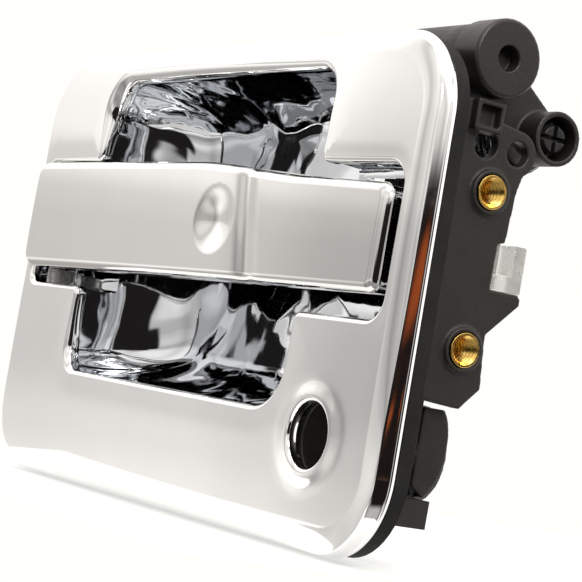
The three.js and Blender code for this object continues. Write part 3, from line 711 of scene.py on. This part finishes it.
def clear_nylon(name):
    """Unfilled nylon, which lets much of the light behind it through."""
    m = plastic(name, (0.90, 0.90, 0.86), (0.98, 0.98, 0.95), (0.22, 0.38), 0.15, 500)
    b = next(n for n in m.node_tree.nodes if n.type == "BSDF_PRINCIPLED")
    b.inputs["Transmission Weight"].default_value = 0.75
    b.inputs["IOR"].default_value = 1.25
    return m


def metal(name, tint, rough=(0.2, 0.35), scale=400):
    """Bare metal, worn unevenly."""
    m, nt, b = nodes_of(name)
    b.inputs["Metallic"].default_value = 1.0
    col = ramp(nt, noise(nt, 150, 5), [(0.3, tint), (0.8, [c * 0.8 for c in tint])])
    nt.links.new(col, b.inputs["Base Color"])
    r = ramp(nt, noise(nt, scale, 4), [(0.3, (rough[0],) * 3), (0.7, (rough[1],) * 3)])
    nt.links.new(r, b.inputs["Roughness"])
    bump(nt, b, noise(nt, 1500, 2), 0.1, 0.00005)
    return m


MAT = {
    "bezel_chrome": chrome("bezel_chrome", (0.93, 0.925, 0.915)),
    "bowl_chrome": wavy_chrome("bowl_chrome", (0.80, 0.82, 0.85)),
    "strap_chrome": chrome("strap_chrome", (0.86, 0.85, 0.84)),
    "gasket_foam": plastic("gasket_foam", (0.004, 0.0036, 0.0034), (0.009, 0.008, 0.0074), (0.8, 0.95), 0.6,
                           1600),
    "black_nylon": plastic("black_nylon", (0.013, 0.0105, 0.0085), (0.021, 0.017, 0.0135)),
    "black_weight": plastic("black_weight", (0.015, 0.0115, 0.0095), (0.024, 0.019, 0.0155), (0.34, 0.5)),
    "black_steel": plastic("black_steel", (0.015, 0.014, 0.014), (0.03, 0.028, 0.027), (0.15, 0.3), 0.08),
    "insert_brass": metal("insert_brass", (0.95, 0.62, 0.17), (0.16, 0.30)),
    "natural_nylon": clear_nylon("natural_nylon"),
    "bright_steel": metal("bright_steel", (0.22, 0.22, 0.23)),
    "bumper_rubber": plastic("bumper_rubber", (0.012, 0.012, 0.012), (0.02, 0.02, 0.02), (0.7, 0.9)),
    "screw_zinc": metal("screw_zinc", (0.6, 0.61, 0.62)),
}


def dress(ob, slot):
    """Gives a piece the one material named by its slot."""
    ob.data.materials.clear()
    ob.data.materials.append(MAT[slot])


def soften(ob, width, segments=3):
    """Rounds a piece's hard edges by a width in millimetres."""
    ob.modifiers.new("weld", "WELD").merge_threshold = 0.005 * MM
    m = ob.modifiers.new("edges", "BEVEL")
    m.width = width * MM
    m.segments = segments
    m.limit_method = "ANGLE"
    m.angle_limit = math.radians(30)
    m.use_clamp_overlap = True
    m.harden_normals = False
    ob.data.polygons.foreach_set("use_smooth", [True] * len(ob.data.polygons))
    ob.modifiers.new("flats", "WEIGHTED_NORMAL").keep_sharp = False


def mould(ob, voxel, rounds=3):
    """Rounds a moulded piece's edges all over."""
    ob.modifiers.new("weld", "WELD").merge_threshold = 0.005 * MM
    m = ob.modifiers.new("skin", "REMESH")
    m.mode = "VOXEL"
    m.voxel_size = voxel * MM
    m.use_smooth_shade = True
    k = ob.modifiers.new("round", "SMOOTH")
    k.factor, k.iterations = 0.5, rounds


# ---------------------------------------------------------------- build
slot_of = {p["node"]: p["material_slot"] for p in frame["record"]["subparts"]}
for name, ob in frame["nodes"].items():
    dress(ob, slot_of[name])

bezel = make_bezel()
dress(bezel, "bezel_chrome")
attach(bezel, "housing")
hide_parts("bezel")

bowl = make_bowl()
dress(bowl, "bowl_chrome")
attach(bowl, "housing")
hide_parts("recess_bowl")

cover = make_strap_cover()
dress(cover, "strap_chrome")
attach(cover, "strap")
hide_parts("strap_cover")

for node in ("threaded_insert_upper", "threaded_insert_lower"):
    insert = make_insert(node)
    dress(insert, "insert_brass")
    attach(insert, "housing")
    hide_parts(node)

for name in ("mechanism_bracket", "lock_cylinder_housing", "bellcrank_lever"):
    mould(frame["nodes"][name], 0.33)
for name in ("carrier_frame", "counterweight", "rod_guide_clip", "latch_rod_clip", "bellcrank_pivot_pin",
             "strap_core"):
    soften(frame["nodes"][name], 0.35)
SMALL = ("carrier_screw", "bracket_screw", "strap_screw", "pivot_bush", "strap_bumper", "strap_pivot",
         "door_gasket")
for name, ob in frame["nodes"].items():
    if name.startswith(SMALL):
        soften(ob, 0.18, 2)

# ---------------------------------------------------------------- stage, light and camera
FLOOR_DROP = 0.0006
FLOOR_FROM, FLOOR_TO = (-0.17, -0.06), (0.113, 0.35)
CAM_AT = (507.5, -281.1, -25.8)  # millimetres, Z from the middle of the bezel
CAM_RIGHT = (0.51375409, 0.84003831, 0.1743341)
CAM_UP = (-0.0517172, -0.17250845, 0.98364941)
CAM_BACK = (0.85637729, -0.51436998, -0.0451825)
CAM_LENS, CAM_SENSOR = 133.16, 36

sc = bpy.context.scene
floor_mesh = bpy.data.meshes.new("floor")
z0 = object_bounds()[0][2] - FLOOR_DROP
(x0, y0), (x1, y1) = FLOOR_FROM, FLOOR_TO
floor_mesh.from_pydata([(x0, y0, z0), (x1, y0, z0), (x1, y1, z0), (x0, y1, z0)], [], [(0, 1, 2, 3)])
floor = bpy.data.objects.new("floor", floor_mesh)
sc.collection.objects.link(floor)
fm, _, fb = nodes_of("floor_paper")
fb.inputs["Base Color"].default_value = (0.42, 0.42, 0.41, 1)
fb.inputs["Emission Color"].default_value = (1.0, 1.0, 0.98, 1)
fb.inputs["Emission Strength"].default_value = 0.57
fb.inputs["Roughness"].default_value = 0.9
floor_mesh.materials.append(fm)

world = bpy.data.worlds.new("studio")
sc.world = world
world.use_nodes = True
wn = world.node_tree
wn.nodes.clear()
w_out = wn.nodes.new("ShaderNodeOutputWorld")
w_bg = wn.nodes.new("ShaderNodeBackground")
wn.links.new(w_bg.outputs[0], w_out.inputs[0])
tc = wn.nodes.new("ShaderNodeTexCoord")


def wmath(kind, a, b=None):
    """A Math node of the world; a and b are sockets or numbers."""
    n = wn.nodes.new("ShaderNodeMath")
    n.operation = kind
    for socket, v in zip(n.inputs, (a, b)):
        if isinstance(v, (int, float)):
            socket.default_value = v
        elif v is not None:
            wn.links.new(v, socket)
    return n.outputs[0]


def along(direction):
    """How far a direction of view points along a given one."""
    dot = wn.nodes.new("ShaderNodeVectorMath")
    dot.operation = "DOT_PRODUCT"
    dot.inputs[1].default_value = direction
    wn.links.new(tc.outputs["Generated"], dot.inputs[0])
    return dot.outputs["Value"]


def step(value, start, end):
    """0 below start, 1 above end, soft between."""
    mr = wn.nodes.new("ShaderNodeMapRange")
    mr.interpolation_type = "SMOOTHSTEP"
    mr.inputs["From Min"].default_value = start
    mr.inputs["From Max"].default_value = end
    wn.links.new(value, mr.inputs["Value"])
    return mr.outputs["Result"]


def curve(value, points):
    """Grey level along a value, through (value, level) points."""
    lo, hi = points[0][0], points[-1][0]
    top = max(level for _, level in points)
    r = wn.nodes.new("ShaderNodeValToRGB")
    r.color_ramp.interpolation = "EASE"
    el = r.color_ramp.elements
    while len(el) < len(points):
        el.new(0.5)
    for e, (v, level) in zip(el, points):
        e.position = (v - lo) / (hi - lo)
        e.color = (level / top, level / top, level / top, 1)
    mr = wn.nodes.new("ShaderNodeMapRange")
    mr.inputs["From Min"].default_value = lo
    mr.inputs["From Max"].default_value = hi
    wn.links.new(value, mr.inputs["Value"])
    wn.links.new(mr.outputs["Result"], r.inputs["Fac"])
    return wmath("MULTIPLY", r.outputs["Color"], top)


def compass(degrees):
    """A level direction by its bearing from +X."""
    a = math.radians(degrees)
    return (math.cos(a), math.sin(a), 0.0)


height = along((0, 0, 1))


def patch(azimuth, rise, half_width, half_height, soft=0.4):
    """A soft oval of the surround, centred on a compass bearing and a rise above the horizon."""
    across = wmath("DIVIDE", along(compass(azimuth + 90)), half_width)
    upward = wmath("DIVIDE", wmath("SUBTRACT", height, rise), half_height)
    reach = wmath("ADD", wmath("MULTIPLY", across, across), wmath("MULTIPLY", upward, upward))
    near = wmath("SUBTRACT", 1.0, step(wmath("SQRT", reach), 1 - soft, 1 + soft))
    return wmath("MULTIPLY", near, step(along(compass(azimuth)), 0.0, 0.2))


def band(azimuth, inner, outer, ceiling=None, soft=0.015):
    """A soft sector round a compass bearing, out to half-angles in degrees, below a ceiling if given."""
    near = step(along(compass(azimuth)), math.cos(math.radians(outer)), math.cos(math.radians(inner)))
    if ceiling is None:
        return near
    return wmath("MULTIPLY", near, wmath("SUBTRACT", 1.0, step(height, ceiling - soft, ceiling + soft)))


# brightness of the surround by height, then by bearing
LEVELS = [(-0.8, 0.50), (-0.35, 0.50), (-0.24, 0.80), (-0.16, 1.15), (-0.11, 1.12), (-0.085, 0.98),
          (-0.05, 0.86), (-0.01, 0.71), (0.06, 0.72), (0.085, 0.78), (0.12, 1.10), (0.2, 1.35), (0.5, 1.5)]
SIDES = [(-0.4, 0.90), (-0.2, 0.92), (-0.08, 0.98), (0.0, 1.0), (0.08, 0.90), (0.16, 0.71), (0.26, 0.50),
         (0.4, 0.64), (0.6, 0.74), (0.8, 0.58), (0.95, 0.74)]
grey = wmath("MULTIPLY", curve(height, LEVELS), curve(along(compass(-60)), SIDES))
tint = wn.nodes.new("ShaderNodeMix")
tint.data_type = "RGBA"
tint.blend_type = "MULTIPLY"
tint.inputs["Factor"].default_value = 1.0
wn.links.new(grey, tint.inputs["A"])
tint.inputs["B"].default_value = (1.0, 0.975, 0.945, 1)
# darker, brighter and coloured parts of the surround
ZONES = (
    (band(-33, 6, 16, ceiling=0.5), (0.36, 0.34, 0.33)),
    (band(-36, 22, 28, ceiling=0.052), (0.014, 0.012, 0.012)),
    (band(20, 31, 39, ceiling=0.142), (0.012, 0.009, 0.008)),
    (band(100, 32, 40), (1.35, 1.32, 1.28)),
    (band(-20, 26, 32, ceiling=0.125), (0.014, 0.012, 0.012)),
    (patch(20, 0.088, 0.22, 0.020), (0.30, 0.062, 0.016)),
    (patch(14, 0.028, 0.10, 0.007), (0.30, 0.07, 0.02)),
    (patch(24, -0.05, 0.20, 0.02), (0.05, 0.028, 0.02)),
)
now = tint.outputs["Result"]
for fac, c in ZONES:
    mix = wn.nodes.new("ShaderNodeMix")
    mix.data_type = "RGBA"
    wn.links.new(fac, mix.inputs["Factor"])
    wn.links.new(now, mix.inputs["A"])
    mix.inputs["B"].default_value = (*c, 1)
    now = mix.outputs["Result"]
lp = wn.nodes.new("ShaderNodeLightPath")
seen = wn.nodes.new("ShaderNodeMix")
seen.data_type = "RGBA"
wn.links.new(lp.outputs["Is Camera Ray"], seen.inputs["Factor"])
wn.links.new(now, seen.inputs["A"])
seen.inputs["B"].default_value = (1.0, 1.0, 0.97, 1)
wn.links.new(seen.outputs["Result"], w_bg.inputs["Color"])


def area(name, at, aim, size, power):
    """A round soft light aimed at a point."""
    light = bpy.data.lights.new(name, "AREA")
    light.shape, light.size, light.energy = "DISK", size, power
    ob = bpy.data.objects.new(name, light)
    sc.collection.objects.link(ob)
    ob.location = at
    ob.rotation_euler = (Vector(aim) - Vector(at)).to_track_quat("-Z", "Y").to_euler()


area("top_soft", (0.3, -0.3, 1.1), (0, 0, 0.05), 0.8, 4)
area("side_key", (0.75, -0.12, 0.55), (0.09, 0.02, 0.07), 0.3, 3.2)

cam_data = bpy.data.cameras.new("cam")
cam_data.sensor_width = CAM_SENSOR
cam_data.lens = CAM_LENS
cam = bpy.data.objects.new("cam", cam_data)
sc.collection.objects.link(cam)
turn = Matrix((CAM_RIGHT, CAM_UP, CAM_BACK)).transposed()
cam_at = Vector((CAM_AT[0], CAM_AT[1], CAM_AT[2] + MID_Z)) * MM
cam.matrix_world = Matrix.Translation(cam_at) @ turn.to_4x4()
sc.camera = cam
sc.view_settings.view_transform = "Standard"
